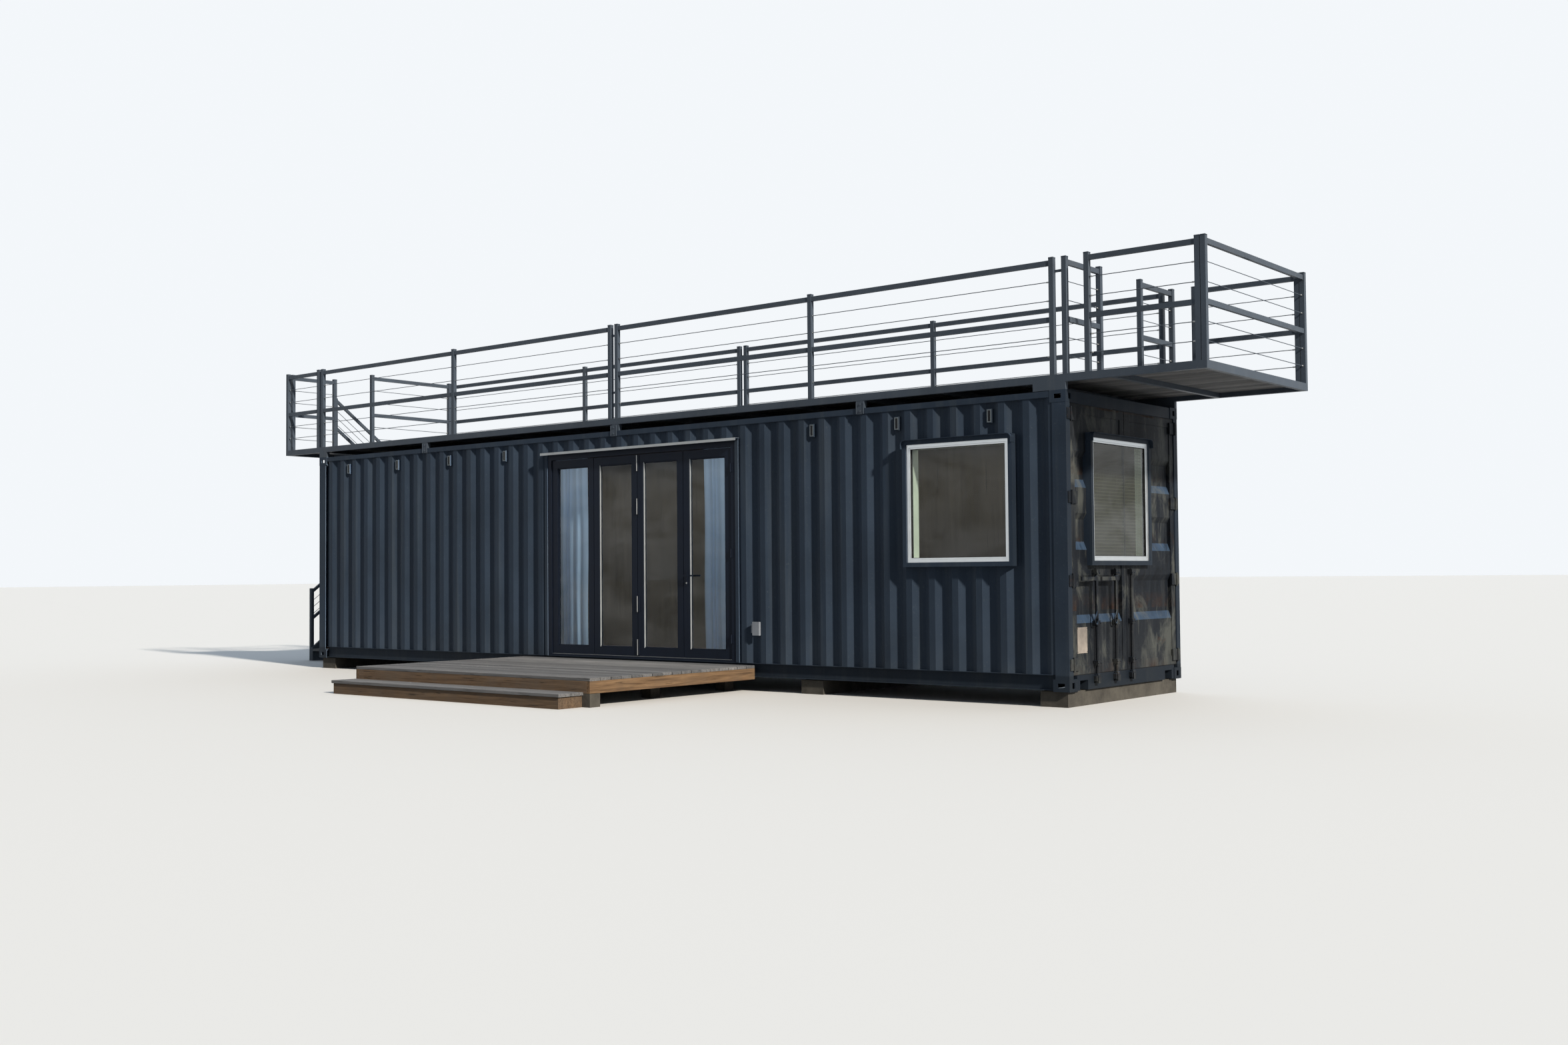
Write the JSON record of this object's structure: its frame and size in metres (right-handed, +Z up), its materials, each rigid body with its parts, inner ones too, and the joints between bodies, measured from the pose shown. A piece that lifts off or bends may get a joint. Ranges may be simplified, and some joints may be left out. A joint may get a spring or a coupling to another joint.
{
  "type": "shipping container cabin",
  "caption": "Dark container cabin with a glazed folding door, two windows, roof terrace with cable railings, outside stair and low timber deck.",
  "frame": {"origin": "on the ground under the middle of the container's plan, at the underside of the middle sleeper", "axes": "+X along the container from the stair end toward the cargo door end, -Y out of the front with the folding door, +Z up"},
  "size_m": [15.515, 6.56, 4.335],
  "materials": {
    "concrete": "cast concrete",
    "navy_steel": "dark blue-grey container paint, satin",
    "worn_steel": "dull container paint with rust showing through",
    "bare_plate": "bare pale metal plate",
    "silver_aluminium": "satin anodised",
    "glass": "clear",
    "dark_aluminium": "near-black satin coat",
    "white_plastic": "weatherproof cover",
    "floor_wood": "sealed plywood floor",
    "lining_wood": "pale plywood",
    "pale_fabric": "light gathered curtain cloth",
    "railing_steel": "dark grey paint",
    "deck_timber": "weathered boards"
  },
  "bodies": {
    "cabin": {"foundation_blocks": "concrete", "corner_castings": "navy_steel", "corner_posts": "navy_steel", "side_rails": "navy_steel", "door_header_and_sill": "navy_steel", "cross_members": "navy_steel", "floor_board": "floor_wood", "roof_sheet": "navy_steel", "front_wall_left": "navy_steel", "front_wall_right": "navy_steel", "front_wall_over_door": "navy_steel", "back_wall": "navy_steel", "left_end_wall": "navy_steel", "cargo_doors": "worn_steel", "cargo_door_hinges": "worn_steel", "lock_rods": "worn_steel", "blank_plate": "bare_plate", "window_surrounds": "navy_steel", "window_frames": "silver_aluminium", "window_glass": "glass", "door_surround": "navy_steel", "door_frame": "dark_aluminium", "folding_leaves": "dark_aluminium", "folding_glass": "glass", "vent_boxes": "navy_steel", "outlet_cover": "white_plastic", "inner_linings": "lining_wood", "curtain_rail": "dark_aluminium", "curtains": "pale_fabric", "terrace_frame": "railing_steel", "terrace_boards": "deck_timber", "long_railings": "railing_steel", "right_railings": "railing_steel", "left_railings": "railing_steel", "stair_stringers": "railing_steel", "stair_treads": "deck_timber", "half_landing": "railing_steel", "stair_columns": "railing_steel", "stair_railings": "railing_steel", "deck_frame": "deck_timber", "deck_boards": "deck_timber", "deck_step": "deck_timber"},
    "entry_door": {"entry_leaf": "dark_aluminium", "entry_glass": "glass", "entry_handle": "dark_aluminium"}
  },
  "joints": [
    {"name": "entry_door_hinge", "type": "hinge", "parent": "cabin", "child": "entry_door", "pos_m": [1.832, -1.216, 1.512], "axis": [0, 0, 1], "range_deg": [0, 90]}
  ]
}
